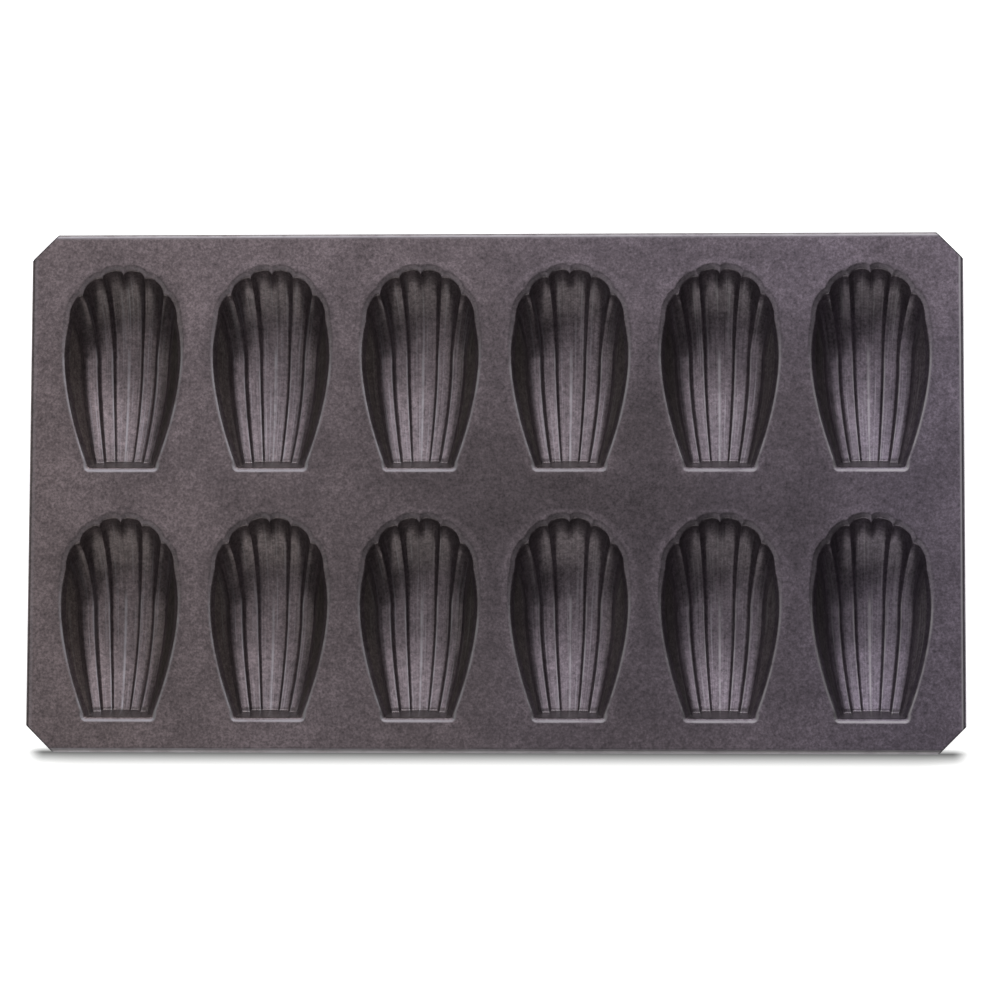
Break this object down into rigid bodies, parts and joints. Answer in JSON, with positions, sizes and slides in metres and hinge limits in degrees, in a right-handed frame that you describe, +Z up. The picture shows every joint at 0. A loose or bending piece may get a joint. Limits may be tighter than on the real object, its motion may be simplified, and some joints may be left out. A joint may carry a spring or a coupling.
{
  "type": "madeleine pan",
  "caption": "Flat baking pan of dark coated steel with rows of fluted shell moulds, rolled edges and cut corners.",
  "frame": {"origin": "under the middle of the pan, on the surface that it stands on", "axes": "+Z up, +X along the pan's long side, +Y from the moulds' narrow ends to their scalloped fan ends"},
  "size_m": [0.368, 0.205, 0.0192],
  "materials": {
    "coated_sheet": "satin dark grey non-stick coating with a fine speckle",
    "edge_wire": "drawn steel wire"
  },
  "bodies": {
    "root": {"deck": "coated_sheet", "mould_front_1": "coated_sheet", "mould_front_2": "coated_sheet", "mould_front_3": "coated_sheet", "mould_front_4": "coated_sheet", "mould_front_5": "coated_sheet", "mould_front_6": "coated_sheet", "mould_back_1": "coated_sheet", "mould_back_2": "coated_sheet", "mould_back_3": "coated_sheet", "mould_back_4": "coated_sheet", "mould_back_5": "coated_sheet", "mould_back_6": "coated_sheet", "rolled_edge_front": "coated_sheet", "rolled_edge_back": "coated_sheet", "rolled_edge_left": "coated_sheet", "rolled_edge_right": "coated_sheet", "edge_wire_front": "edge_wire", "edge_wire_back": "edge_wire", "edge_wire_left": "edge_wire", "edge_wire_right": "edge_wire"}
  },
  "joints": []
}
